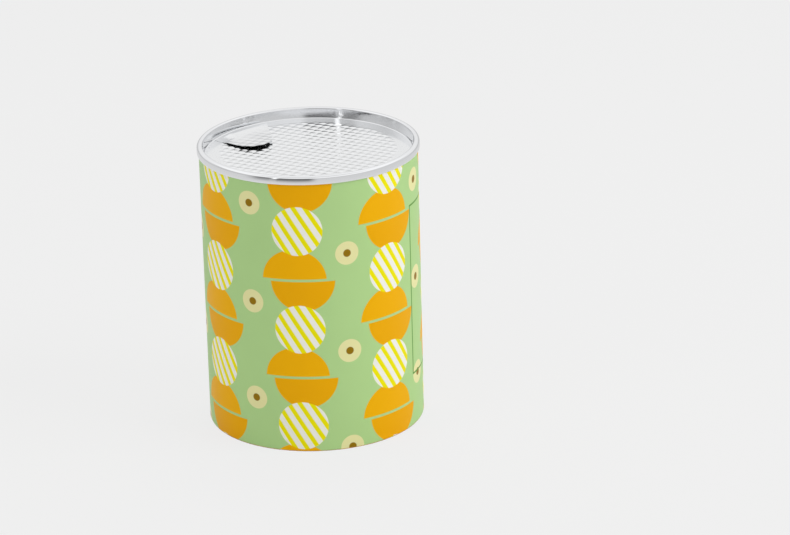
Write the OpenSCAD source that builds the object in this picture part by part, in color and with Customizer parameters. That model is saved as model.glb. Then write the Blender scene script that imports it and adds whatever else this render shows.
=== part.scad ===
// Composite paper can with a foil easy-peel end, made open at the bottom for filling.
// Origin: centre of the bottom cut edge. +Z up the can's axis; the label's front faces -Y.

/* [Can] */
// Overall height, bottom cut edge to the top of the seam
can_height = 110; // [60:1:240]
// Outer diameter of the wrapped body
body_d = 83; // [70:0.5:99]

/* [Body wall] */
// Thickness of the printed paper label
label_t = 0.12; // [0.08:0.01:0.2]
// Thickness of one kraft board ply
ply_t = 0.42; // [0.3:0.01:0.6]
// Thickness of the foil liner
liner_t = 0.08; // [0.05:0.01:0.12]
// Glue line between two layers
glue_t = 0.01; // [0.005:0.005:0.02]
// How far the top of the wall is flared outwards inside the seam
flare = 0.42; // [0.2:0.01:0.45]
// Width of the label's overlap at the back
label_lap = 7; // [4:1:15]
// How much thinner the ring's chuck wall presses the body wall
press = 0.1; // [0.05:0.01:0.15]

/* [End ring] */
// Thickness of the ring's sheet
sheet_t = 0.22; // [0.18:0.01:0.26]
// How far the seam stands out past the body
seam_overhang = 0.75; // [0.7:0.05:1.1]
// Height of the seam on the outside
seam_h = 3.2; // [2.9:0.1:3.6]
// Depth of the panel below the top of the seam
panel_depth = 4.2; // [3.6:0.1:5]
// Taper of the chuck wall from upright
chuck_taper = 6; // [3:0.5:8]
// Diameter of the ring's mouth
mouth_d = 66.8; // [50:0.2:68]

/* [Foil] */
// Thickness of the foil membrane and its tab
foil_t = 0.12; // [0.08:0.01:0.2]
// Thickness of the heat-seal coating under the foil
seal_t = 0.1; // [0.05:0.01:0.15]
// Spacing of the embossing's rows
row_pitch = 3.34; // [3:0.01:5]
// Spacing of the pillows along a row
pillow_pitch = 3.21; // [3:0.01:5]
// Height of an embossed pillow's shoulder
pillow_h = 0.28; // [0.15:0.01:0.35]
// Share of a pillow that its crown takes up
pillow_crown = 0.46; // [0.3:0.02:0.6]
// Direction across the rows, anticlockwise from +X
row_turn = 59.2; // [0:0.1:89]
// How far the columns lean from square to the rows
row_skew = -2.1; // [-5:0.1:5]
// Place of the pillow nearest the middle: share of a row
row_shift = 0.05; // [-0.5:0.05:0.5]
// Place of the pillow nearest the middle: share of a pillow along its row
pillow_shift = 0.4; // [-0.5:0.05:0.5]
// Smooth border between the embossing and the foil's edge
foil_border = 5.2; // [4.5:0.1:8]

/* [Pull tab] */
// Direction of the tab's fold, anticlockwise from +X
tab_azimuth = 130.7; // [0:0.1:359.9]
// Distance of the fold line from the can's axis
fold_distance = 34.3; // [30:0.1:35]
// How far the tab sits along its fold line from the middle
fold_shift = 4.4; // [0:0.1:5]
// Width of the tab at its fold
tab_w = 26.2; // [18:0.1:27]
// Radius of the tab's rounded tip
tab_tip_r = 7.6; // [5:0.1:9]
// Distance from the fold to the middle of the tip
tab_reach = 14.7; // [10:0.1:18]
// Lean of the folded tab to one side
tab_lean = 21; // [0:1:22]
// Outer radius of the rolled fold
roll_r = 0.25; // [0.2:0.05:0.5]
// How far the tip springs up
tab_lift = 1; // [0.4:0.1:1.2]

/* [Hidden] */
$fn = 180;

// Radii of the layers, from the outside in
body_r = body_d / 2;
label_in_r = body_r - label_t;
ply_step = ply_t + glue_t;
ply_1_r = label_in_r - glue_t;
ply_2_r = ply_1_r - ply_step;
ply_3_r = ply_2_r - ply_step;
liner_out_r = ply_3_r - ply_step;
liner_in_r = liner_out_r - liner_t;
label_lap_t = 0.1;

// Heights in the seam
wall_drop = 1;
flare_drop = 2.25;
flare_rise = 1;
flare_steps = 8;
wall_top = can_height - wall_drop;
flare_low = can_height - flare_drop;
flare_high = flare_low + flare_rise;

// Heights between which the wall is pressed thinner, just below the panel
press_start = 0.7;
press_run = 0.9;
press_low = can_height - panel_depth - press_start;
press_high = press_low + press_run;

// Levels of the panel
panel_z = can_height - panel_depth;
foil_z = panel_z + seal_t;
foil_top = foil_z + foil_t;

// The ring's sheet, as the middle of its thickness
seam_r = body_r + seam_overhang;
outer_c = seam_r - sheet_t / 2;
top_c = can_height - sheet_t / 2;
panel_c = panel_z - sheet_t / 2;
hook_clear = 0.02;
hook_c = body_r + hook_clear + sheet_t / 2;
hem_r = 0.25;
hem_len = 1.3;
root_bend = 0.6;
top_bend = 0.6;
skirt_bend = 0.9;
skirt_turn = 32;
hook_len = 0.55;
bend_steps = 8;
chuck_gap = 0.18;

// Bend of the hook: what is left of the overhang after the skirt's bend
hook_bend = (outer_c - hook_c - skirt_bend * (1 - cos(skirt_turn))) / (1 + cos(skirt_turn));
// Steepness of the chuck wall, from the panel
wall_a = 90 - chuck_taper;
wall_root_r = liner_in_r - chuck_gap - sheet_t / 2;
root_start_r = wall_root_r - root_bend * sin(wall_a);
chuck_len = (top_c - panel_c - (root_bend + top_bend) * (1 - cos(wall_a))) / sin(wall_a);
chuck_end_r = wall_root_r + chuck_len * cos(wall_a) + top_bend * sin(wall_a);
top_len = outer_c - top_bend - chuck_end_r;
hem_c = mouth_d / 2 + hem_r + sheet_t / 2;
panel_len = root_start_r - hem_c;
skirt_low = can_height - seam_h + sheet_t / 2;
skirt_end = skirt_low + skirt_bend * sin(skirt_turn) + hook_bend * (1 - sin(skirt_turn));
skirt_len = top_c - top_bend - skirt_end;

// The ring's section as steps from the hem's tip to the hook's tip: a run has [length, 0],
// a bend has [radius, angle], and a bend to the right has a negative angle
ring_steps = [[hem_len, 0], [hem_r, -180], [panel_len, 0], [root_bend, wall_a], [chuck_len, 0],
              [top_bend, -wall_a], [top_len, 0], [top_bend, -90], [skirt_len, 0],
              [skirt_bend, -skirt_turn], [hook_bend, skirt_turn - 180], [hook_len, 0]];
ring_start = [hem_c + hem_len, panel_c - 2 * hem_r];

// The embossed field, inside the smooth border: the pillows whose middle lies well within it
foil_gap = 0.15;
foil_r = liner_in_r - chuck_gap - sheet_t / 2 - root_bend - foil_gap;
field_r = foil_r - foil_border;
half_pillow = 0.35;
middle_r = field_r - half_pillow * pillow_pitch;
cells_n = ceil(field_r / pillow_pitch) + 2;
crown_rise = 0.08;
crown_h = pillow_h + crown_rise;

// Hinge line of the tab
roll_gap = 0.05;
hinge_z = foil_top + roll_gap + roll_r;

// Smooth step from 0 to 1
function ease(x) = x <= 0 ? 0 : x >= 1 ? 1 : x * x * (3 - 2 * x);

// Outward flare of every layer at the height z
function flare_at(z) = flare * ease((z - flare_low) / (flare_high - flare_low));

// Outward shift of a face of radius r where the wall is pressed: most at the inside, none at the outside
function press_at(r, z) =
    z < press_high ? 0 : press * (body_r - r) / (body_r - liner_in_r);

// Heights at which a layer's section has a corner
layer_z = concat([0, press_low, press_high],
                 [for (i = [0:flare_steps]) flare_low + i * flare_rise / flare_steps], [wall_top]);

// One layer of the body wall, from its inner to its outer radius
module wall_layer(inner_r, outer_r) {
    function face(r, z) = [r + press_at(r, z) + flare_at(z), z];
    up = [for (z = layer_z) face(outer_r, z)];
    down = [for (i = [len(layer_z) - 1:-1:0]) face(inner_r, layer_z[i])];
    rotate_extrude() polygon(concat(down, up));
}

// Points and headings along a path of runs and bends
function travel(step, at, head) =
    step[1] == 0
        ? [[at + step[0] * [cos(head), sin(head)], head]]
        : let (side = sign(step[1]), mid = at + step[0] * side * [-sin(head), cos(head)])
          [for (k = [1:bend_steps])
              let (h = head + k * step[1] / bend_steps)
              [mid + step[0] * side * [sin(h), -cos(h)], h]];
function route(steps, at, head, i = 0) =
    i == len(steps) ? []
    : let (leg = travel(steps[i], at, head), last = leg[len(leg) - 1])
      concat(leg, route(steps, last[0], last[1], i + 1));

// A bent sheet's section, with its thickness laid half on each side of the route
module sheet_section(steps, at, head, t) {
    way = concat([[at, head]], route(steps, at, head));
    left = [for (w = way) w[0] + t / 2 * [-sin(w[1]), cos(w[1])]];
    right = [for (i = [len(way) - 1:-1:0]) way[i][0] + t / 2 * [sin(way[i][1]), -cos(way[i][1])]];
    polygon(concat(left, right));
}

// Printed paper label, wrapped once and lapped at the back
module printed_label() {
    back = 90;
    bite = 0.02;
    below_seam = 0.3;
    color([0.67, 0.8, 0.56]) {
        wall_layer(label_in_r, body_r);
        lap_turn = label_lap / body_r * 180 / PI;
        rotate([0, 0, back - lap_turn / 2])
            rotate_extrude(angle = lap_turn)
                translate([body_r - bite, 0])
                    square([label_lap_t + bite, can_height - seam_h - below_seam]);
    }
}

module outer_kraft_ply() {
    color([0.7, 0.5, 0.26]) wall_layer(ply_1_r - ply_t, ply_1_r);
}

module middle_kraft_ply() {
    color([0.64, 0.45, 0.23]) wall_layer(ply_2_r - ply_t, ply_2_r);
}

module inner_kraft_ply() {
    color([0.7, 0.5, 0.26]) wall_layer(ply_3_r - ply_t, ply_3_r);
}

module foil_liner() {
    color([0.72, 0.73, 0.74]) wall_layer(liner_in_r, liner_out_r);
}

// Aluminium ring: hemmed mouth, panel, chuck wall, seam and hook, all one sheet
module end_ring() {
    color([0.8, 0.81, 0.83])
        rotate_extrude()
            sheet_section(ring_steps, ring_start, 180, sheet_t);
}

// Sealing compound between the top of the wall and the ring's sheet
module seam_compound() {
    clear = 0.01;
    from_bend = 0.08;
    color([0.85, 0.83, 0.76])
        rotate_extrude()
            translate([chuck_end_r + from_bend, wall_top + clear])
                square([top_len - 2 * from_bend, can_height - sheet_t - wall_top - 2 * clear]);
}

// Peel coating that holds the foil to the ring's panel
module heat_seal_ring() {
    inside_foil = 0.3;
    from_mouth = 0.5;
    color([0.9, 0.89, 0.82])
        translate([0, 0, panel_z])
            difference() {
                cylinder(r = foil_r - inside_foil, h = seal_t);
                translate([0, 0, -1]) cylinder(r = mouth_d / 2 + from_mouth, h = seal_t + 2);
            }
}

// Steps of the embossing's grid: to the same place in the next row, and to the next pillow of a row
column_turn = row_turn + 90 + row_skew;
across_rows = row_pitch / cos(row_skew) * [sin(column_turn), -cos(column_turn), 0];
along_row = pillow_pitch / cos(row_skew) * [-sin(row_turn), cos(row_turn), 0];

// Corner i, j of the embossing's grid, counted in rows and in pillows
function grid_at(i, j) =
    (i + row_shift - 0.5) * across_rows + (j + pillow_shift - 0.5) * along_row;
function grid_id(i, j) = (i + cells_n) * (2 * cells_n + 1) + j + cells_n;

// A pillow is kept if its middle lies well inside the field
function kept(i, j) = norm(grid_at(i + 0.5, j + 0.5)) <= middle_r;
function count_kept(i, j) =
    (kept(i, j) ? 1 : 0) + (kept(i - 1, j) ? 1 : 0) + (kept(i, j - 1) ? 1 : 0)
    + (kept(i - 1, j - 1) ? 1 : 0);

// Corners sorted by their direction from the middle
function by_turn(list) =
    len(list) < 2 ? list
    : let (pivot = list[0][0])
      concat(by_turn([for (q = list) if (q[0] < pivot) q]), [list[0]],
             by_turn([for (q = list) if (q[0] > pivot) q]));

// Embossed foil: rows of raised pillows, hollow below, inside a smooth border
module peel_membrane() {
    span = [-cells_n:cells_n];
    grid = [for (i = span) for (j = span) grid_at(i, j)];
    cells = [for (i = [-cells_n:cells_n - 1]) for (j = [-cells_n:cells_n - 1]) if (kept(i, j)) [i, j]];
    inset = (1 - pillow_crown) / 2;
    low = inset;
    high = 1 - inset;
    crowns = [for (c = cells)
                 each [grid_at(c[0] + low, c[1] + low) + [0, 0, pillow_h],
                       grid_at(c[0] + high, c[1] + low) + [0, 0, pillow_h],
                       grid_at(c[0] + high, c[1] + high) + [0, 0, pillow_h],
                       grid_at(c[0] + low, c[1] + high) + [0, 0, pillow_h],
                       grid_at(c[0] + 0.5, c[1] + 0.5) + [0, 0, crown_h]]];
    edge = by_turn([for (i = span) for (j = span)
                       let (n = count_kept(i, j), p = grid_at(i, j))
                       if (n > 0 && n < 4) [atan2(p[1], p[0]), grid_id(i, j)]]);
    rim = [for (q = edge) foil_r * [cos(q[0]), sin(q[0]), 0]];
    first_crown = len(grid);
    first_rim = first_crown + len(crowns);
    m = len(edge);
    skin = concat(grid, crowns, rim);
    pillows = [for (k = [0:len(cells) - 1])
                  let (c = cells[k], b = first_crown + 5 * k,
                       corner = [grid_id(c[0], c[1]), grid_id(c[0] + 1, c[1]),
                                 grid_id(c[0] + 1, c[1] + 1), grid_id(c[0], c[1] + 1)])
                  for (s = [0:3])
                      let (t = (s + 1) % 4)
                      each [[corner[s], b + s, corner[t]], [corner[t], b + s, b + t],
                            [b + s, b + 4, b + t]]];
    border = [for (k = [0:m - 1])
                 let (n = (k + 1) % m)
                 each [[edge[k][1], edge[n][1], first_rim + k],
                       [edge[n][1], first_rim + n, first_rim + k]]];
    top = concat(pillows, border);
    shift = len(skin);
    bottom = [for (f = top) [f[0] + shift, f[2] + shift, f[1] + shift]];
    side = [for (k = [0:m - 1])
               let (a = first_rim + k, b = first_rim + (k + 1) % m)
               each [[a, b, b + shift], [a, b + shift, a + shift]]];
    color([0.84, 0.85, 0.86])
        translate([0, 0, foil_z])
            polyhedron(concat([for (p = skin) p + [0, 0, foil_t]], skin), concat(top, bottom, side));
}

// Plan outline of the tab: straight sides from the fold, running into a round tip
module tab_outline() {
    tip = tab_reach * [sin(tab_lean), cos(tab_lean)];
    // Direction, from the tip's middle, of the point where the side from x meets the round tip
    function touch(x, side) =
        let (d = [x, 0] - tip)
        atan2(d[1], d[0]) - side * acos(tab_tip_r / norm(d));
    left = touch(-tab_w / 2, 1);
    right = touch(tab_w / 2, -1) - 360;
    tip_steps = 24;
    round_tip = [for (i = [0:tip_steps])
                    let (a = left + i * (right - left) / tip_steps)
                    tip + tab_tip_r * [cos(a), sin(a)]];
    polygon(concat([[-tab_w / 2, -1], [-tab_w / 2, 0]], round_tip, [[tab_w / 2, 0], [tab_w / 2, -1]]));
}

// Side view of half a roll at the fold
module roll_profile() {
    difference() {
        circle(r = roll_r);
        circle(r = roll_r - foil_t);
        translate([0, -2 * roll_r]) square([2 * roll_r, 4 * roll_r]);
    }
}

// Side view of the tongue: a sheet that leaves the top of the roll and curls gently upwards
module curl_profile() {
    curl_steps = 12;
    far = tab_reach + tab_tip_r;
    sheet = [for (i = [0:curl_steps])
                let (v = far * i / curl_steps)
                [v, roll_r + tab_lift * pow(v / far, 2)]];
    polygon(concat(sheet, [for (i = [curl_steps:-1:0]) sheet[i] - [0, foil_t]]));
}

// Pull tab: a rolled fold and a tongue with a round tip
module pull_tab() {
    module across() {
        rotate([90, 0, 90]) translate([0, 0, -tab_w / 2 - 1]) linear_extrude(tab_w + 2) children();
    }
    color([0.86, 0.87, 0.88])
        rotate([0, 0, tab_azimuth])
            translate([fold_distance, fold_shift, hinge_z])
                rotate([0, 0, 90])
                    intersection() {
                        union() {
                            across() roll_profile();
                            across() curl_profile();
                        }
                        translate([0, 0, -1]) linear_extrude(4) tab_outline();
                    }
}

printed_label();
outer_kraft_ply();
middle_kraft_ply();
inner_kraft_ply();
foil_liner();
end_ring();
seam_compound();
heat_seal_ring();
peel_membrane();
pull_tab();
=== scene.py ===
import math
import random

import bmesh
import bpy
import numpy as np
from mathutils import Matrix, Vector


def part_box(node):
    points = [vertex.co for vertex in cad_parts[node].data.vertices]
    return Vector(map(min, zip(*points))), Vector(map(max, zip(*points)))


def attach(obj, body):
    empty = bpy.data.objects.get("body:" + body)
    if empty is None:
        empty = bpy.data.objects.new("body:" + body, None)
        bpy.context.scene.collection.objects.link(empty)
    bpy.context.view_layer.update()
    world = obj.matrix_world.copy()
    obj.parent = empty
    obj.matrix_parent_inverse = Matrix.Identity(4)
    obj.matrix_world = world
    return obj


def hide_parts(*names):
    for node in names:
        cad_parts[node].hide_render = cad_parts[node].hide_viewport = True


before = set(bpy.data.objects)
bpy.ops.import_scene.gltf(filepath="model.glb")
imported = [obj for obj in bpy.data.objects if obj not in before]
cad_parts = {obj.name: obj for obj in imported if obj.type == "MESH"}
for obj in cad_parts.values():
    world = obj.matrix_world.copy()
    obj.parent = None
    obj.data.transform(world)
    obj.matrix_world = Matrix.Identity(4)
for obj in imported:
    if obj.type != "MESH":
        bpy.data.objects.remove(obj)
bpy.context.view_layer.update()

# Everything is in metres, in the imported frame: the can stands on z = 0 and its label faces -Y.
MM = 0.001
SEED = 5


# Sizes

CAN_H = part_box("end_ring")[1].z
PANEL_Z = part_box("heat_seal_ring")[0].z
FOIL_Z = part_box("peel_membrane")[0].z
FOIL_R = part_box("peel_membrane")[1].x
WALL_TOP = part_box("outer_kraft_ply")[1].z

BODY_R = 41.5 * MM
SEAM_R = 42.22 * MM
LABEL_T = 0.12 * MM
PLY_T = 0.42 * MM
LINER_T = 0.08 * MM
GLUE_T = 0.01 * MM
FOIL_T = 0.12 * MM
LABEL_LAP = 7 * MM
LABEL_SHORT = 0.3 * MM
LINER_R = BODY_R - LABEL_T - 3 * (PLY_T + GLUE_T) - GLUE_T - LINER_T

# The wall's flare inside the seam
FLARE = 0.42 * MM
FLARE_LOW = CAN_H - 2.25 * MM
FLARE_HIGH = CAN_H - 1.25 * MM


def ease(x):
    """Smooth step from 0 to 1, for a number or an array."""
    x = np.clip(x, 0, 1)
    return x * x * (3 - 2 * x)


def flare_at(z):
    return FLARE * ease((z - FLARE_LOW) / (FLARE_HIGH - FLARE_LOW))


# Meshes


def piece(name, verts, faces, body, replaced=(), sharp=35, fields=None, recalc=True):
    """A mesh object that rides on a CAD body, with smooth shading and any per-vertex vectors in fields."""
    mesh = bpy.data.meshes.new(name)
    mesh.from_pydata(np.asarray(verts, float).tolist(), [], faces)
    for key, values in (fields or {}).items():
        attr = mesh.attributes.new(key, "FLOAT_VECTOR", "POINT")
        attr.data.foreach_set("vector", np.asarray(values, np.float32).ravel())
    if recalc:
        bm = bmesh.new()
        bm.from_mesh(mesh)
        bmesh.ops.recalc_face_normals(bm, faces=bm.faces)
        bm.to_mesh(mesh)
        bm.free()
    mesh.shade_smooth()
    mesh.set_sharp_from_angle(angle=math.radians(sharp))
    obj = bpy.data.objects.new(name, mesh)
    bpy.context.scene.collection.objects.link(obj)
    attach(obj, body)
    if replaced:
        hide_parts(*replaced)
    return obj


def skin(sections, closed=True):
    """Vertices and faces of a solid through sections, each a closed loop of the same number of points."""
    n, m = len(sections), len(sections[0])
    verts = np.concatenate([np.asarray(s, float) for s in sections])
    faces = []
    for i in range(n if closed else n - 1):
        a, b = i * m, (i + 1) % n * m
        faces += [(a + k, a + (k + 1) % m, b + (k + 1) % m, b + k) for k in range(m)]
    if not closed:
        faces.append(tuple(range(m)))
        faces.append(tuple(reversed(range((n - 1) * m, n * m))))
    return verts, faces


def polar(r, turn, z):
    """Points at radius r, direction turn in radians and height z."""
    r, turn, z = np.broadcast_arrays(r, turn, z)
    return np.stack([r * np.cos(turn), r * np.sin(turn), z], axis=-1)


def ripple(turn, seed, waves=7, low=2):
    """A smooth random wave round the can, between about -1 and 1."""
    rng = random.Random(seed)
    total = 0
    for k in range(low, low + waves):
        total = total + rng.uniform(-1, 1) * np.sin(k * turn + rng.uniform(0, 2 * math.pi))
    return total / math.sqrt(waves)


# Wall layers


def wrapped_sheet(outer_r, thickness, start, turn, lean=0.0, rows=None, rough=0.0, seed=0, lift=None, step=1.0):
    """A sheet wound round the can: sections from one end of the winding to the other."""
    count = int(round(math.degrees(turn) / step))
    rows = np.asarray(rows)
    rng = random.Random(seed)
    sections, wraps = [], []
    for i in range(count + 1):
        along = turn * i / count
        rise = lift(along) if lift else 0.0
        fray = rough * rng.uniform(0, 1) ** 2
        z_out = rows.copy()
        z_in = rows.copy()
        z_out[0] += fray * 0.6
        z_in[0] += fray
        turn_out = start + along + lean * z_out
        turn_in = start + along + lean * z_in
        top_fade = 1 - ease((rows - FLARE_LOW) / (1 * MM))
        outer = polar(outer_r + flare_at(z_out) + rise * top_fade, turn_out, z_out)
        inner = polar(outer_r - thickness + flare_at(z_in) + rise * top_fade, turn_in, z_in)
        sections.append(np.concatenate([outer, inner[::-1]]))
        arc = (start + along + lean * rows) * BODY_R
        face_up = np.stack([arc, rows, np.ones_like(rows)], axis=-1)
        face_in = np.stack([arc, rows, np.zeros_like(rows)], axis=-1)
        wraps.append(np.concatenate([face_up, face_in[::-1]]))
    verts, faces = skin(sections, closed=False)
    return verts, faces, np.concatenate(wraps)


WALL_ROWS = np.concatenate([
    np.array([0, 0.04, 0.3]) * MM,
    np.linspace(2 * MM, FLARE_LOW, 30),
    np.linspace(FLARE_LOW, FLARE_HIGH, 7)[1:],
    [WALL_TOP],
])


def make_label():
    lap = LABEL_LAP / BODY_R
    start = math.pi / 2 - lap / 2

    def lift(along):
        return (LABEL_T + 0.004 * MM) * ease((along - 2 * math.pi + 5 * lap / 6) / (5 * lap / 6))

    rows = WALL_ROWS.copy()
    rows[:3] += LABEL_SHORT
    verts, faces, wrap = wrapped_sheet(BODY_R, LABEL_T, start - 2 * math.pi, 2 * math.pi + lap,
                                       rows=rows, seed=SEED, lift=lift, step=0.75)
    return piece("label_wrap", verts, faces, "can", ["printed_label"], fields={"wrap": wrap})


def make_plies():
    made = []
    radius = BODY_R - LABEL_T - GLUE_T
    joint_gap = 0.25 * MM
    lean = 1 / (BODY_R * math.tan(math.radians(38)))
    for k, node in enumerate(["outer_kraft_ply", "middle_kraft_ply", "inner_kraft_ply"]):
        start = math.radians(250 + 130 * k)
        verts, faces, wrap = wrapped_sheet(radius, PLY_T, start, 2 * math.pi - joint_gap / radius, lean=lean,
                                           rows=WALL_ROWS, rough=0.1 * MM, seed=SEED + k, step=0.75)
        made.append(piece(node + "_wound", verts, faces, "can", [node], fields={"wrap": wrap}))
        radius -= PLY_T + GLUE_T
    return made


def make_liner():
    """The foil liner: a sleeve with the folded joint of its edges as a raised helical band."""
    wind = math.radians(35)
    fold_w, fold_h, edge = 5 * MM, 0.12 * MM, 0.18 * MM
    start = math.radians(200)
    climb = 1 / (LINER_R * math.tan(wind))
    across = LINER_R * math.sin(wind)
    half = fold_w / 2
    near = np.concatenate([np.linspace(-half - 3 * edge, -half + 3 * edge, 11),
                           np.linspace(-half + 4 * edge, half - 4 * edge, 7),
                           np.linspace(half - 3 * edge, half + 3 * edge, 11)]) / across
    far = np.linspace(near[-1], near[0] + 2 * math.pi, 290)[1:-1]
    offsets = np.concatenate([near, far])
    d = (offsets + math.pi) % (2 * math.pi) - math.pi
    d = d * across
    band = ease((half + edge / 2 - np.abs(d)) / edge)
    crease = np.exp(-((d + half + 0.35 * MM) / (0.16 * MM)) ** 2)
    fade_top = PANEL_Z - 1 * MM
    rows = np.concatenate([[0], np.arange(0.5 * MM, FLARE_LOW, 1 * MM), np.linspace(FLARE_LOW, FLARE_HIGH, 6), [WALL_TOP]])
    inner, outer, wraps = [], [], []
    for z in rows:
        turn = start + z * climb + offsets
        fade = 1 - ease((z - fade_top) / (1 * MM))
        dent = 0.025 * MM * ripple(turn, SEED + 9, 9, 3) * math.sin(z / (9 * MM) + 1)
        r = LINER_R + flare_at(z) - fade * (fold_h * band - 0.035 * MM * crease) + dent * fade * (1 - band)
        inner.append(polar(r, turn, z))
        outer.append(polar(LINER_R + LINER_T + flare_at(z), turn, z))
        wraps.append(np.stack([d, np.full_like(d, z), (z * climb + offsets) * across], axis=-1))
    n, m = len(rows), len(offsets)
    verts = np.concatenate(inner + outer)
    faces = []
    shell = n * m
    for i in range(n - 1):
        for k in range(m):
            k2 = (k + 1) % m
            a, b, c, e = i * m + k, i * m + k2, (i + 1) * m + k2, (i + 1) * m + k
            faces.append((a, e, c, b))
            faces.append((a + shell, b + shell, c + shell, e + shell))
    for k in range(m):
        k2 = (k + 1) % m
        faces.append((k, k2, k2 + shell, k + shell))
        top = (n - 1) * m
        faces.append((top + k2, top + k, top + k + shell, top + k2 + shell))
    wrap = np.concatenate(wraps + wraps)
    return piece("liner_sleeve", verts, faces, "can", ["foil_liner"], fields={"wrap": wrap})


# End ring


def bent_sheet(steps, at, head, thickness, bend_steps=9):
    """Section of a bent sheet. A run is (length, 0), a bend is (radius, angle in degrees), to the left if positive."""
    path = [(Vector(at), head)]
    for size, angle in steps:
        at, head = path[-1]
        if angle == 0:
            path.append((at + size * Vector((math.cos(head), math.sin(head))), head))
            continue
        side = math.copysign(1, angle)
        mid = at + size * side * Vector((-math.sin(head), math.cos(head)))
        for k in range(1, bend_steps + 1):
            h = head + math.radians(angle) * k / bend_steps
            path.append((mid + size * side * Vector((math.sin(h), -math.cos(h))), h))
    left = [p + thickness / 2 * Vector((-math.sin(h), math.cos(h))) for p, h in path]
    right = [p - thickness / 2 * Vector((-math.sin(h), math.cos(h))) for p, h in path]
    return [tuple(p) for p in left + right[::-1]]


def ring_section():
    """Section of the end ring in (radius, height): hemmed mouth, panel, chuck wall, seam and hook."""
    t = 0.22 * MM
    taper, root, inner_top, outer_top = 6, 0.6 * MM, 0.45 * MM, 1.0 * MM
    skirt, skirt_turn = 0.9 * MM, 32
    hem_r, hem_len, hook_len = 0.25 * MM, 1.3 * MM, 0.55 * MM
    mouth_r = 33.4 * MM
    seam_h = 3.2 * MM
    outer_c, top_c, panel_c = SEAM_R - t / 2, CAN_H - t / 2, PANEL_Z - t / 2
    hook_c = BODY_R + 0.02 * MM + t / 2
    turn = math.radians(skirt_turn)
    wall = 90 - taper
    steep = math.radians(wall)
    hook_bend = (outer_c - hook_c - skirt * (1 - math.cos(turn))) / (1 + math.cos(turn))
    wall_root = LINER_R - 0.18 * MM - t / 2
    root_start = wall_root - root * math.sin(steep)
    chuck_len = (top_c - panel_c - (root + inner_top) * (1 - math.cos(steep))) / math.sin(steep)
    chuck_end = wall_root + chuck_len * math.cos(steep) + inner_top * math.sin(steep)
    hem_c = mouth_r + hem_r + t / 2
    skirt_end = CAN_H - seam_h + t / 2 + skirt * math.sin(turn) + hook_bend * (1 - math.sin(turn))
    steps = [(hem_len, 0), (hem_r, -180), (root_start - hem_c, 0), (root, wall), (chuck_len, 0),
             (inner_top, -wall), (outer_c - outer_top - chuck_end, 0), (outer_top, -90),
             (top_c - outer_top - skirt_end, 0),
             (skirt, -skirt_turn), (hook_bend, skirt_turn - 180), (hook_len, 0)]
    return bent_sheet(steps, (hem_c + hem_len, panel_c - 2 * hem_r), math.pi, t)


def make_ring():
    section = np.array(ring_section())
    segments = 300
    sections = []
    for i in range(segments):
        turn = 2 * math.pi * i / segments
        up = ease((section[:, 1] - PANEL_Z) / (3 * MM))
        dr = 0.012 * MM * ripple(turn, SEED + 20, 12, 3) * up
        dz = -0.012 * MM * (1 + ripple(turn, SEED + 21, 8, 2)) * ease((section[:, 1] - PANEL_Z - 1.5 * MM) / MM)
        sections.append(polar(section[:, 0] + dr, turn, section[:, 1] + dz))
    verts, faces = skin(sections)
    return piece("ring_shell", verts, faces, "can", ["end_ring"])


# Foil

ROW_PITCH, PILLOW_PITCH = 3.326 * MM, 3.236 * MM
ROW_TURN = math.radians(59.9)
ROW_SKEW = math.radians(-2.2)
ROW_SHIFT, PILLOW_SHIFT = 0.395, -0.193
PILLOW_H = 0.2 * MM
FIELD_R = 34.1 * MM
FADE = 1.1 * MM

# Steps to the same place in the next row, and to the next pillow of a row
COLUMN_TURN = ROW_TURN + math.pi / 2 + ROW_SKEW
ACROSS_ROWS = ROW_PITCH / math.cos(ROW_SKEW) * np.array([math.sin(COLUMN_TURN), -math.cos(COLUMN_TURN)])
ALONG_ROW = PILLOW_PITCH / math.cos(ROW_SKEW) * np.array([-math.sin(ROW_TURN), math.cos(ROW_TURN)])
FINE = 10


def to_lattice(x, y):
    """Place in the embossing's grid, in rows and in pillows; the crowns are at whole numbers."""
    a = (x * math.cos(ROW_TURN) + y * math.sin(ROW_TURN)) / ROW_PITCH
    b = (x * math.cos(COLUMN_TURN) + y * math.sin(COLUMN_TURN)) / PILLOW_PITCH
    return a - ROW_SHIFT, b - PILLOW_SHIFT


def pillow_noise(i, j, seed):
    """One random number between 0 and 1 for each pillow."""
    n = np.sin(i * 127.1 + j * 311.7 + seed * 74.7) * 43758.5453
    return n - np.floor(n)


def emboss(x, y):
    """Height of the embossing, from 0 in the grooves to 1 on the crowns."""
    a, b = to_lattice(x, y)
    i, j = np.round(a), np.round(b)
    dome = np.cos(math.pi * (a - i)) * np.cos(math.pi * (b - j))
    dome = np.sqrt(dome ** 2 + 0.02) - math.sqrt(0.02)
    size = 0.9 + 0.1 * pillow_noise(i, j, 1)
    return dome * size / (math.sqrt(1.02) - math.sqrt(0.02))


def foil_relief(x, y):
    """Height of the foil's top above its smooth border: the embossing on a slightly uneven sheet."""
    r = np.hypot(x, y)
    wave = 0.5 + 0.25 * np.sin(x / (11 * MM) + 0.7) * np.sin(y / (9 * MM)) + 0.25 * np.sin((x - y) / (17 * MM) + 2)
    loose = ease((33.5 * MM - r) / (3 * MM))
    field = ease((FIELD_R - r) / FADE)
    return PILLOW_H * emboss(x, y) * field + 0.02 * MM * wave * loose


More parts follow.
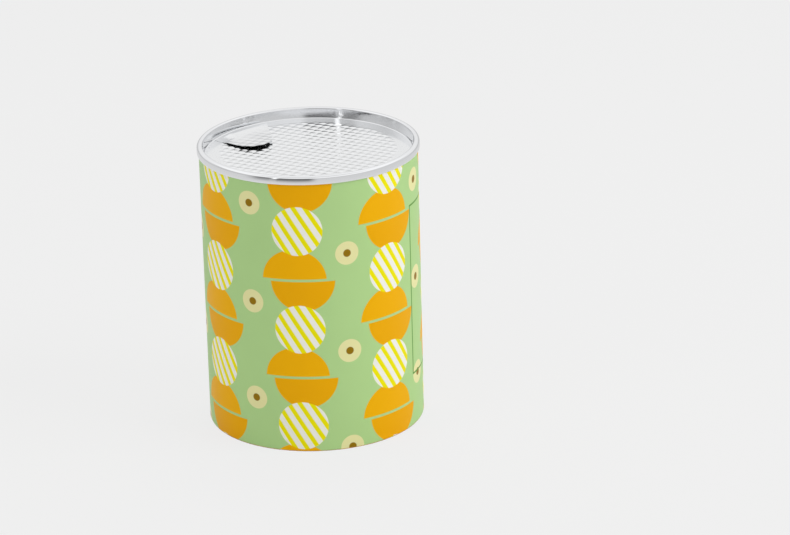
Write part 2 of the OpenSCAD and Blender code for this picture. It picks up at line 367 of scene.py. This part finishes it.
def zipper(inner, outer, verts):
    """Triangles between two closed loops of vertex numbers, both in order round the same middle."""
    centre = np.mean([verts[k] for k in outer], axis=0)

    def turn(k):
        return math.atan2(verts[k][1] - centre[1], verts[k][0] - centre[0])

    def from_lowest(loop):
        turns = [turn(k) for k in loop]
        s = int(np.argmin(turns))
        loop = loop[s:] + loop[:s]
        return loop, [turn(k) for k in loop]

    inner, inner_turns = from_lowest(inner)
    outer, outer_turns = from_lowest(outer)
    n, m, i, j, faces = len(inner), len(outer), 0, 0, []
    while i < n or j < m:
        next_i = inner_turns[i + 1] if i + 1 < n else math.inf if i >= n else 10 + inner_turns[0]
        next_j = outer_turns[j + 1] if j + 1 < m else math.inf if j >= m else 10 + outer_turns[0]
        if next_i <= next_j and i < n:
            faces.append((inner[i % n], outer[j % m], inner[(i + 1) % n]))
            i += 1
        else:
            faces.append((inner[i % n], outer[j % m], outer[(j + 1) % m]))
            j += 1
    return faces


def patch(outline, step_i, step_j, start, inside):
    """A flat sheet inside an outline: a grid of the two steps from start, joined to the outline."""
    outline = np.asarray(outline, float)
    reach = np.abs(outline).max() * 1.5
    count = int(reach / min(np.hypot(*step_i), np.hypot(*step_j))) + 2
    index, verts, faces, edges = {}, [], [], {}

    def vertex(i, j):
        if (i, j) not in index:
            index[(i, j)] = len(verts)
            verts.append(tuple(start + i * step_i + j * step_j))
        return index[(i, j)]

    span = np.arange(-count, count + 1)
    gi, gj = np.meshgrid(span, span, indexing="ij")
    ok = inside(start[0] + gi * step_i[0] + gj * step_j[0], start[1] + gi * step_i[1] + gj * step_j[1])
    full = ok[:-1, :-1] & ok[1:, :-1] & ok[1:, 1:] & ok[:-1, 1:]
    for i, j in np.argwhere(full):
        i, j = int(i) - count, int(j) - count
        quad = [vertex(i, j), vertex(i + 1, j), vertex(i + 1, j + 1), vertex(i, j + 1)]
        faces.append(tuple(quad))
        for k in range(4):
            a, b = quad[k], quad[(k + 1) % 4]
            if (b, a) in edges:
                del edges[(b, a)]
            else:
                edges[(a, b)] = True
    follow = {a: b for a, b in edges}
    loop = [next(iter(follow))]
    while follow[loop[-1]] != loop[0]:
        loop.append(follow[loop[-1]])
    first = len(verts)
    verts += [tuple(p) for p in outline]
    faces += zipper(loop, list(range(first, len(verts))), verts)
    return np.array(verts), faces, list(range(first, len(verts)))


def thicken(flat, faces, rim, top, thickness):
    """A closed sheet: the patch at the heights in top, a copy a thickness below, and a wall round the rim."""
    n = len(flat)
    upper = np.column_stack([flat, top])
    lower = np.column_stack([flat, top - thickness])
    all_faces = list(faces) + [tuple(k + n for k in reversed(f)) for f in faces]
    for a, b in zip(rim, rim[1:] + rim[:1]):
        all_faces.append((a, a + n, b + n, b))
    return np.concatenate([upper, lower]), all_faces


def make_membrane():
    segments = 360
    turns = np.arange(segments) * 2 * math.pi / segments
    outline = np.stack([FOIL_R * np.cos(turns), FOIL_R * np.sin(turns)], axis=-1)
    start = ROW_SHIFT * ACROSS_ROWS + PILLOW_SHIFT * ALONG_ROW
    flat, faces, rim = patch(outline, ACROSS_ROWS / FINE, ALONG_ROW / FINE, start,
                             lambda x, y: np.hypot(x, y) < FOIL_R - 0.45 * MM)
    top = FOIL_Z + FOIL_T + foil_relief(flat[:, 0], flat[:, 1])
    verts, faces = thicken(flat, faces, rim, top, FOIL_T)
    return piece("membrane_foil", verts, faces, "membrane", ["peel_membrane"], sharp=60, recalc=False)


# Pull tab

TAB_TURN = math.radians(130.7)
HINGE_DISTANCE = 34.3 * MM
HINGE_SHIFT = 4.4 * MM
TAB_W = 26.2 * MM
TIP_R = 7.6 * MM
TAB_REACH = 13.4 * MM
TAB_LEAN = math.radians(21)
ROLL_R = 0.25 * MM
ROLL_GAP = 0.05 * MM
TAB_SPRING = 0.75 * MM
HINGE_Z = FOIL_Z + FOIL_T + ROLL_GAP + ROLL_R

# The fold lies a little outside the hinge line; up to the line it stays down on the membrane
FOLD_BACK = 0.9 * MM
FOLD_SIDE = -0.8 * MM
TAB_FRAME = (Matrix.Rotation(TAB_TURN, 4, "Z") @ Matrix.Translation((HINGE_DISTANCE, HINGE_SHIFT, HINGE_Z))
             @ Matrix.Rotation(math.pi / 2, 4, "Z") @ Matrix.Translation((FOLD_SIDE, -FOLD_BACK, 0)))


def in_world(points):
    """Points of the tab, measured from its fold, in the can's frame."""
    m = np.array(TAB_FRAME)
    return points @ m[:3, :3].T + m[:3, 3]


def tab_outline():
    """Plan of the tab from its fold at y = 0: the tip's middle and the straight sides' ends with the round tip."""
    tip = np.array([math.sin(TAB_LEAN), math.cos(TAB_LEAN)]) * TAB_REACH

    def touch(x, side):
        d = np.array([x, 0]) - tip
        return math.atan2(d[1], d[0]) - side * math.acos(TIP_R / np.hypot(*d))

    left, right = touch(-TAB_W / 2, 1), touch(TAB_W / 2, -1)
    while right > left:
        right -= 2 * math.pi
    return tip, [tip + TIP_R * np.array([math.cos(a), math.sin(a)]) for a in np.linspace(left, right, 50)]


def pressed_share(x, y):
    """1 at the end of the fold that is pressed flat on the foil, 0 where the tab stands free."""
    return 1 - ease((np.hypot(x - TAB_W / 2, y) - 3.5 * MM) / (5 * MM))


def tab_top(x, y, length):
    """Height of the tab's top above the hinge line: a springy tongue with a faint print, pressed down at one end."""
    world = in_world(np.stack([x, y, np.zeros_like(x)], axis=-1))
    print_h = (0.03 + 0.2 * ease(y / length) ** 2) * MM * emboss(world[:, 0], world[:, 1])
    curl = TAB_SPRING * (y / length) ** 2
    flutter = 0.05 * MM * np.sin(x / (2.1 * MM) + 0.6) * ease(y / length * 2)
    ridge = 0.3 * MM * np.exp(-(y / (3.2 * MM)) ** 2)
    loose = ROLL_R + ridge + curl + print_h * ease(y / (3 * MM)) + flutter
    pressed = FOIL_Z + 2 * FOIL_T + 0.03 * MM - HINGE_Z + foil_relief(world[:, 0], world[:, 1])
    share = pressed_share(x, y)
    return loose * (1 - share) + pressed * share


def within(outline, margin):
    """A test for places inside an outline and more than a margin away from it."""
    px, py = outline[:, 0], outline[:, 1]

    def test(x, y):
        hit = np.zeros(np.shape(x), bool)
        nearest = np.full(np.shape(x), np.inf)
        for k in range(len(px)):
            k2 = (k + 1) % len(px)
            ax, ay, bx, by = px[k], py[k], px[k2], py[k2]
            hit ^= ((ay > y) != (by > y)) & (x < (bx - ax) * (y - ay) / (by - ay + 1e-30) + ax)
            t = np.clip(((x - ax) * (bx - ax) + (y - ay) * (by - ay)) / ((bx - ax) ** 2 + (by - ay) ** 2), 0, 1)
            nearest = np.minimum(nearest, np.hypot(x - ax - t * (bx - ax), y - ay - t * (by - ay)))
        return hit & (nearest > margin)

    return test


def make_tab():
    """The tongue on the tab's body, and the fold it comes from, which stays down on the membrane."""
    tip, arc = tab_outline()
    length = tip[1] + TIP_R
    fold_left, fold_right = np.array([-TAB_W / 2, 0]), np.array([TAB_W / 2, 0])
    cut_left = fold_left + (arc[0] - fold_left) * FOLD_BACK / arc[0][1]
    cut_right = fold_right + (arc[-1] - fold_right) * FOLD_BACK / arc[-1][1]
    along = np.linspace(0, 1, 40)
    left_side = [cut_left * (1 - t) + arc[0] * t for t in along[:-1]]
    right_side = [arc[-1] * (1 - t) + cut_right * t for t in along[1:]]
    base = [cut_right * (1 - t) + cut_left * t for t in np.linspace(0, 1, 80)[1:-1]]
    outline = np.array(left_side + arc + right_side + base)[::-1]
    cell = PILLOW_PITCH / FINE
    flat, faces, rim = patch(outline, np.array([cell, 0]), np.array([0, cell]), np.zeros(2), within(outline, 0.4 * cell))
    top = tab_top(flat[:, 0], flat[:, 1], length)
    verts, faces = thicken(flat, faces, rim, top, FOIL_T)
    tongue = piece("tab_foil", in_world(verts), faces, "tab", ["pull_tab"], sharp=50)

    sections = []
    turns = np.linspace(math.pi / 2, 3 * math.pi / 2, 13)
    rows = np.linspace(FOLD_BACK, 0, 5)[:-1]
    for t in np.linspace(0, 1, 100):
        x0 = fold_left[0] * (1 - t) + fold_right[0] * t
        x1 = cut_left[0] * (1 - t) + cut_right[0] * t
        xs = x0 + (x1 - x0) * rows / FOLD_BACK
        share = pressed_share(x0, 0.0)
        top_z = tab_top(np.array([x0]), np.array([0.0]), length)[0]
        low_z = -ROLL_R * (1 - share) + (FOIL_Z + FOIL_T + 0.01 * MM - HINGE_Z) * share
        mid, half = (top_z + low_z) / 2, (top_z - low_z) / 2
        inner = max(half - FOIL_T, 0.005 * MM)
        upper = tab_top(xs, rows, length)
        over = list(zip(xs, rows, upper))
        under = list(zip(xs, rows, upper - FOIL_T))
        out = [(x0, half * math.cos(a), mid + half * math.sin(a)) for a in turns]
        back = [(x0, inner * math.cos(a), mid + inner * math.sin(a)) for a in turns]
        sections.append(np.array(over + out + back[::-1] + under[::-1]))
    verts, faces = skin(sections, closed=False)
    fold = piece("tab_fold", in_world(verts), faces, "membrane", (), sharp=50)
    return tongue, fold


# Node trees


class Tree:
    """Builds a material's nodes; the numbers it hands out can be written as formulas."""

    def __init__(self, name, tree=None):
        if tree is not None:
            self.tree = tree
            return
        self.material = bpy.data.materials.new(name)
        self.material.use_nodes = True
        self.tree = self.material.node_tree
        self.shader = self.tree.nodes["Principled BSDF"]

    def node(self, kind, **settings):
        made = self.tree.nodes.new(kind)
        for key, value in settings.items():
            setattr(made, key, value)
        return made

    def link(self, source, socket):
        self.tree.links.new(source.out if isinstance(source, Value) else source, socket)

    def put(self, value, socket):
        """A Value or socket is linked, and a plain number or colour is set on the socket."""
        if isinstance(value, (Value, bpy.types.NodeSocket)):
            self.link(value, socket)
        else:
            socket.default_value = value

    def math(self, kind, *args, clamp=False):
        made = self.node("ShaderNodeMath", operation=kind, use_clamp=clamp)
        for socket, arg in zip(made.inputs, args):
            self.put(arg, socket)
        return Value(self, made.outputs[0])

    def attribute(self, name):
        made = self.node("ShaderNodeAttribute", attribute_name=name)
        split = self.node("ShaderNodeSeparateXYZ")
        self.link(made.outputs["Vector"], split.inputs[0])
        return [Value(self, s) for s in split.outputs], made.outputs["Vector"]

    def place(self):
        """The object's own coordinates, whole and split."""
        made = self.node("ShaderNodeTexCoord")
        split = self.node("ShaderNodeSeparateXYZ")
        self.link(made.outputs["Object"], split.inputs[0])
        return [Value(self, s) for s in split.outputs], made.outputs["Object"]

    def vector(self, x, y, z):
        made = self.node("ShaderNodeCombineXYZ")
        for socket, arg in zip(made.inputs, (x, y, z)):
            self.put(arg, socket)
        return made.outputs[0]

    def noise(self, vector, scale, detail=3.0, rough=0.55):
        made = self.node("ShaderNodeTexNoise")
        self.link(vector, made.inputs["Vector"])
        made.inputs["Scale"].default_value = scale
        made.inputs["Detail"].default_value = detail
        made.inputs["Roughness"].default_value = rough
        return Value(self, made.outputs["Fac"])

    def step(self, value, low, high, to_low=0.0, to_high=1.0):
        """Smooth step of a value from low to high."""
        made = self.node("ShaderNodeMapRange", interpolation_type="SMOOTHSTEP")
        for key, arg in zip(("Value", "From Min", "From Max", "To Min", "To Max"), (value, low, high, to_low, to_high)):
            self.put(arg, made.inputs[key])
        return Value(self, made.outputs["Result"])

    def mix(self, factor, a, b, blend="MIX"):
        made = self.node("ShaderNodeMix", data_type="RGBA", blend_type=blend)
        self.put(factor, made.inputs["Factor"])
        for socket, value in ((made.inputs[6], a), (made.inputs[7], b)):
            self.put((*value, 1.0) if isinstance(value, tuple) and len(value) == 3 else value, socket)
        return made.outputs[2]

    def bump(self, height, distance, strength=1.0, normal=None):
        made = self.node("ShaderNodeBump")
        made.inputs["Strength"].default_value = strength
        made.inputs["Distance"].default_value = distance
        self.link(height, made.inputs["Height"])
        if normal is not None:
            self.link(normal, made.inputs["Normal"])
        return made.outputs[0]

    def finish(self, color, rough, metallic=0.0, normal=None, **constants):
        self.put((*color, 1.0) if isinstance(color, tuple) and len(color) == 3 else color, self.shader.inputs["Base Color"])
        self.put(rough, self.shader.inputs["Roughness"])
        self.shader.inputs["Metallic"].default_value = metallic
        if normal is not None:
            self.link(normal, self.shader.inputs["Normal"])
        for key, value in constants.items():
            self.shader.inputs[key.replace("_", " ")].default_value = value
        return self.material


class Value:
    """A number that a node puts out."""

    def __init__(self, tree, out):
        self.tree, self.out = tree, out

    def __add__(self, other): return self.tree.math("ADD", self, other)
    def __radd__(self, other): return self.tree.math("ADD", other, self)
    def __sub__(self, other): return self.tree.math("SUBTRACT", self, other)
    def __rsub__(self, other): return self.tree.math("SUBTRACT", other, self)
    def __mul__(self, other): return self.tree.math("MULTIPLY", self, other)
    def __rmul__(self, other): return self.tree.math("MULTIPLY", other, self)
    def __truediv__(self, other): return self.tree.math("DIVIDE", self, other)
    def __rtruediv__(self, other): return self.tree.math("DIVIDE", other, self)
    def __pow__(self, other): return self.tree.math("POWER", self, other)
    def abs(self): return self.tree.math("ABSOLUTE", self)
    def floor(self): return self.tree.math("FLOOR", self)
    def sin(self): return self.tree.math("SINE", self)
    def sqrt(self): return self.tree.math("SQRT", self)
    def max(self, other): return self.tree.math("MAXIMUM", self, other)
    def min(self, other): return self.tree.math("MINIMUM", self, other)
    def wrap(self, high, low=0.0): return self.tree.math("WRAP", self, high, low)


def srgb(r, g, b):
    """Linear colour of an 8-bit screen colour."""
    return tuple((c / 255 / 12.92) if c <= 10 else ((c / 255 + 0.055) / 1.055) ** 2.4 for c in (r, g, b))


GREEN = srgb(176, 211, 142)
ORANGE = srgb(240, 176, 0)
ORANGE_DEEP = srgb(236, 170, 0)
YELLOW = srgb(238, 228, 0)
CREAM = srgb(230, 226, 166)
BROWN = srgb(146, 112, 14)
PAPER_WHITE = srgb(238, 238, 232)
KRAFT = srgb(186, 132, 66)
INK_GREEN = srgb(96, 150, 60)


def label_material():
    t = Tree("label_paper")
    (arc, height, face), wrap = t.attribute("wrap")
    u, v = arc * 1000, height * 1000
    soft = 0.12

    def shape(value):
        """1 inside a shape whose signed distance in millimetres is value, 0 outside."""
        return t.step(value, soft, -soft)

    def cell(x, y, wide, tall, shift_x=0.0, shift_y=0.0, drop=0.5):
        """Place in a half-drop repeat: from the middle of the nearest cell, and the cell's column and row."""
        column = ((x - shift_x) / wide + 0.5).floor()
        local_x = x - shift_x - column * wide
        odd = column.wrap(2.0)
        y2 = y - shift_y - odd * (drop * tall)
        row = (y2 / tall + 0.5).floor()
        return local_x, y2 - row * tall, column, row

    def length(x, y):
        return (x * x + y * y).sqrt()

    color = t.mix(t.noise(wrap, 40, 2), tuple(c * 0.97 for c in GREEN), tuple(min(1, c * 1.03) for c in GREEN))

    # Large orange discs, each split by a thin level gap and its lower half moved a little to one side
    wide, tall = 37.3, 39.0
    x, y, col, row = cell(u, v, wide, tall, 4.0, 30.0)
    upper = shape((length(x + 1.6, y) - 12.2).max(0.5 - y))
    lower = shape((length(x - 1.6, y) - 12.2).max(y + 0.5))
    color = t.mix(upper, color, ORANGE)
    color = t.mix(lower, color, ORANGE_DEEP)

    # Yellow discs with slanting white stripes, in the other places of the repeat
    x, y, col, row = cell(u, v, wide, tall, 4.0, 30.0 + tall / 2)
    disc = shape(length(x, y) - 9.6)
    slant = ((x + y * 0.6) / 4.4).wrap(1.0)
    stripe = t.step((slant - 0.5).abs(), 0.30, 0.24)
    color = t.mix(disc, color, YELLOW)
    color = t.mix(disc * stripe, color, PAPER_WHITE)

    # Small cream rings with a brown dot between the discs
    x, y, col, row = cell(u, v, wide, tall, 4.0 + wide / 2, 30.0 + tall / 4)
    ring_d = length(x, y)
    color = t.mix(shape(ring_d - 4.6), color, CREAM)
    color = t.mix(shape(ring_d - 1.5), color, BROWN)

    # Bare outlined panel towards the back right
    px, py = u - 62.0 + 65.2, v - 55.0
    box = ((px.abs() - 16).max(py.abs() - 34)).abs()
    color = t.mix(t.step(box, 0.45, 0.25), color, INK_GREEN)

    raw = t.mix(t.noise(wrap, 900, 2), srgb(222, 214, 196), srgb(238, 234, 222))
    color = t.mix(t.step(face, 0.4, 0.6), raw, color)
    fibre = t.noise(wrap, 1500, 3)
    peel = t.noise(wrap, 260, 2)
    normal = t.bump(fibre * 0.6 + peel * 0.4, 0.02 * MM, 0.35)
    rough = peel * 0.08 + 0.36
    return t.finish(color, rough, 0.0, normal, Specular_IOR_Level=0.08)


def kraft_material():
    t = Tree("kraft_board")
    (arc, height, face), wrap = t.attribute("wrap")
    (x, y, z), place = t.place()
    fibres = t.noise(t.vector(arc * 260, height * 2600, face), 1.0, 4)
    flecks = t.noise(place, 2400, 2)
    color = t.mix(t.step(fibres, 0.3, 0.7), srgb(150, 100, 44), srgb(206, 152, 84))
    color = t.mix(t.step(flecks, 0.62, 0.75, 0, 0.6), color, srgb(120, 76, 30))
    normal = t.bump(fibres + flecks * 0.5, 0.05 * MM, 0.8)
    return t.finish(color, flecks * 0.15 + 0.78, 0.0, normal, Specular_IOR_Level=0.3)


def brushed(name, tint, rough_low, rough_high, lines, normal_strength, smudge=0.04):
    """Rolled aluminium sheet: fine lines along the vector in lines, soft smudges, a little tint."""
    t = Tree(name)
    (x, y, z), place = t.place()
    grain = t.noise(lines(t, x, y, z), 1.0, 3)
    cloud = t.noise(place, 60, 3)
    color = t.mix(cloud, tuple(c * (1 - smudge) for c in tint), tint)
    rough = t.step(grain, 0.3, 0.7, rough_low, rough_high) + (cloud - 0.5) * 0.06
    normal = t.bump(grain, 0.01 * MM, normal_strength)
    return t.finish(color, rough, 1.0, normal, Anisotropic=0.3)


def round_lines(t, x, y, z):
    radius = (x * x + y * y).sqrt()
    return t.vector(radius * 9000, z * 9000, t.math("ARCTAN2", y, x) * 3)


def straight_lines(t, x, y, z):
    return t.vector((x + y) * 260, (x - y) * 9000, z * 400)


def liner_material():
    t = Tree("liner_foil")
    (across, height, along), wrap = t.attribute("wrap")
    (x, y, z), place = t.place()
    half = 2.5 * MM
    cut = t.step((across + half + 0.25 * MM).abs(), 0.28 * MM, 0.1 * MM)
    grain = t.noise(t.vector(across * 2600, along * 90, 0.0), 1.0, 3)
    cloud = t.noise(place, 45, 3)
    color = t.mix(cloud, srgb(228, 229, 232), srgb(240, 240, 242))
    color = t.mix(cut * 0.5, color, srgb(90, 90, 94))
    rough = t.step(grain, 0.3, 0.7, 0.34, 0.46) + (cloud - 0.5) * 0.08
    normal = t.bump(grain + cloud * 0.6, 0.02 * MM, 0.5)
    return t.finish(color, rough, 1.0, normal, Anisotropic=0.2)


def lacquer_material():
    t = Tree("peel_coating")
    (x, y, z), place = t.place()
    torn = t.noise(place, 700, 4)
    color = t.mix(t.step(torn, 0.4, 0.6), srgb(214, 210, 196), srgb(234, 231, 220))
    normal = t.bump(torn, 0.03 * MM, 0.6)
    return t.finish(color, torn * 0.2 + 0.3, 0.0, normal)


def compound_material():
    t = Tree("compound")
    (x, y, z), place = t.place()
    spots = t.noise(place, 900, 3)
    color = t.mix(spots, srgb(206, 200, 182), srgb(222, 218, 204))
    return t.finish(color, 0.6, 0.0, t.bump(spots, 0.03 * MM, 0.4))


def dress(obj, material):
    obj.data.materials.clear()
    obj.data.materials.append(material)


# The object

label = make_label()
plies = make_plies()
liner = make_liner()
ring = make_ring()
membrane = make_membrane()
tab, fold = make_tab()

kraft = kraft_material()
dress(label, label_material())
for ply in plies:
    dress(ply, kraft)
dress(liner, liner_material())
dress(ring, brushed("ring_sheet", srgb(243, 244, 246), 0.04, 0.09, round_lines, 0.12))
foil = brushed("membrane_foil", srgb(245, 246, 247), 0.1, 0.17, straight_lines, 0.15)
dress(membrane, foil)
dress(tab, foil)
dress(fold, foil)
dress(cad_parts["heat_seal_ring"], lacquer_material())
dress(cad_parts["seam_compound"], compound_material())


# Camera

PHOTO_W, PHOTO_H = 790, 535
FOCAL_PX = 3581.7
camera_data = bpy.data.cameras.new("camera")
camera_data.sensor_fit = "HORIZONTAL"
camera_data.sensor_width = 36
camera_data.lens = FOCAL_PX / PHOTO_W * camera_data.sensor_width
camera_data.clip_start, camera_data.clip_end = 0.01, 50
camera = bpy.data.objects.new("camera", camera_data)
bpy.context.scene.collection.objects.link(camera)
bpy.context.scene.camera = camera

yaw, pitch, roll = 0.02462, 0.36071, -0.02582
forward = Vector((math.sin(yaw) * math.cos(pitch), math.cos(yaw) * math.cos(pitch), -math.sin(pitch)))
level = Vector((math.cos(yaw), -math.sin(yaw), 0))
over = level.cross(forward)
right_axis = level * math.cos(roll) + over * math.sin(roll)
up_axis = over * math.cos(roll) - level * math.sin(roll)
camera.matrix_world = Matrix((right_axis, up_axis, -forward)).transposed().to_4x4()
camera.location = (0, -1.285, 0.54237)


# Floor, world and lamps

BACKGROUND = srgb(239, 239, 239)[0]


def front_side(t, x, y):
    """Direction in the plan, in degrees: 0 towards -Y, more to the right."""
    return t.math("ARCTAN2", x, y * -1.0) * (180 / math.pi)


def dim_room(t, az, gap):
    """How dark the studio's front is, up to 1; where gap is 1 a strip between two dark parts is left light."""
    near = t.step(az, -34.5, -31.5) * t.step(az, 9.0, -2.0)
    side = t.step(az, -66.0, -50.0) * t.step(az, -37.0, -40.0)
    whole = t.step(az, -70.0, -50.0) * t.step(az, -28.0, -34.0)
    return near.max(side * 0.8).max(whole * (1.0 - gap) * 0.6)


def make_floor():
    bpy.ops.mesh.primitive_plane_add(size=6, location=(0, 0, -0.00002))
    floor = bpy.context.object
    floor.name = "floor"
    t = Tree("floor")
    path = t.node("ShaderNodeLightPath")
    seen = Value(t, path.outputs["Is Camera Ray"]).max(Value(t, path.outputs["Is Transmission Ray"]))
    glossy = Value(t, path.outputs["Is Glossy Ray"])
    (x, y, z), place = t.place()
    rho = (x * x + y * y).sqrt()
    dark = dim_room(t, front_side(t, x, y), 0.0) * t.step(rho, 0.32, 0.48)
    mirrored = t.step(rho, 0.2, 0.45, 0.76, 0.7)
    mirrored = mirrored + (0.2 - mirrored) * dark
    faint = 0.08
    pale = t.node("ShaderNodeBsdfDiffuse")
    pale.inputs["Color"].default_value = (0.8, 0.8, 0.8, 1)
    under = t.node("ShaderNodeBsdfDiffuse")
    under.inputs["Color"].default_value = (faint, faint, faint, 1)
    glow = t.node("ShaderNodeEmission")
    t.put(BACKGROUND - faint * FLOOR_LIGHT, glow.inputs["Strength"])
    both = t.node("ShaderNodeAddShader")
    t.link(under.outputs[0], both.inputs[0])
    t.link(glow.outputs[0], both.inputs[1])
    shine = t.node("ShaderNodeEmission")
    t.put(mirrored, shine.inputs["Strength"])
    first = t.node("ShaderNodeMixShader")
    t.put(seen, first.inputs[0])
    t.link(pale.outputs[0], first.inputs[1])
    t.link(both.outputs[0], first.inputs[2])
    second = t.node("ShaderNodeMixShader")
    t.put(glossy, second.inputs[0])
    t.link(first.outputs[0], second.inputs[1])
    t.link(shine.outputs[0], second.inputs[2])
    t.link(second.outputs[0], t.tree.nodes["Material Output"].inputs[0])
    t.tree.nodes.remove(t.shader)
    floor.data.materials.append(t.material)
    return floor


def make_world():
    world = bpy.data.worlds.new("studio")
    bpy.context.scene.world = world
    world.use_nodes = True
    world.node_tree.nodes.clear()
    t = Tree(None, world.node_tree)
    path = t.node("ShaderNodeLightPath")
    seen = Value(t, path.outputs["Is Camera Ray"]).max(Value(t, path.outputs["Is Transmission Ray"]))
    glossy = Value(t, path.outputs["Is Glossy Ray"])
    coord = t.node("ShaderNodeTexCoord")
    split = t.node("ShaderNodeSeparateXYZ")
    t.link(coord.outputs["Generated"], split.inputs[0])
    x, y, z = (Value(t, s) for s in split.outputs)
    az = front_side(t, x, y)
    el = t.math("ARCSINE", z) * (180 / math.pi)
    side = t.step(az, -80.0, 80.0, 0.74, 0.84)
    behind = t.step(y, 0.1, 0.8)
    low = side + behind * (t.step(el, 0.0, 22.0, 0.66, 1.12) - side)
    raised = t.step(el, 6.0, 12.0)
    strip = t.step((az + 36.0).abs(), 3.2, 1.2) * t.step(el, 42.0, 36.0) * raised
    front = dim_room(t, az, raised)
    low = low + (0.2 - low) * front * t.step(el, 36.0, 28.0) + strip * 1.2
    ceiling = t.step(el, front * 4.0 + 26.0, front * 4.0 + 42.0)
    overhead = t.step(el, 54.0, 70.0, 1.3, 0.98)
    level = low + (overhead - low) * ceiling
    back = t.node("ShaderNodeBackground")
    total = seen * BACKGROUND + glossy * level + (1.0 - seen - glossy) * ROOM_LIGHT
    t.put(total, back.inputs["Strength"])
    out = t.node("ShaderNodeOutputWorld")
    t.link(back.outputs[0], out.inputs[0])


def softbox(name, at, target, size, power):
    light = bpy.data.lights.new(name, "AREA")
    light.shape = "RECTANGLE"
    light.size, light.size_y = size
    light.energy = power
    lamp = bpy.data.objects.new(name, light)
    bpy.context.scene.collection.objects.link(lamp)
    lamp.location = at
    lamp.rotation_euler = (Vector(target) - Vector(at)).to_track_quat("-Z", "Y").to_euler()
    lamp.visible_glossy = False
    return lamp


FLOOR_LIGHT = 0.99
ROOM_LIGHT = 0.76
make_floor()
make_world()
softbox("key", (1.0, -0.36, 0.8), (0, 0, 0.06), (0.7, 0.7), 7.0)
softbox("fill", (-0.8, -0.6, 0.6), (0, 0, 0.05), (0.6, 0.6), 1.6)
softbox("top", (0.1, 0.35, 0.95), (0, 0, 0.08), (0.5, 0.35), 1.6)

bpy.context.scene.view_settings.view_transform = "Standard"
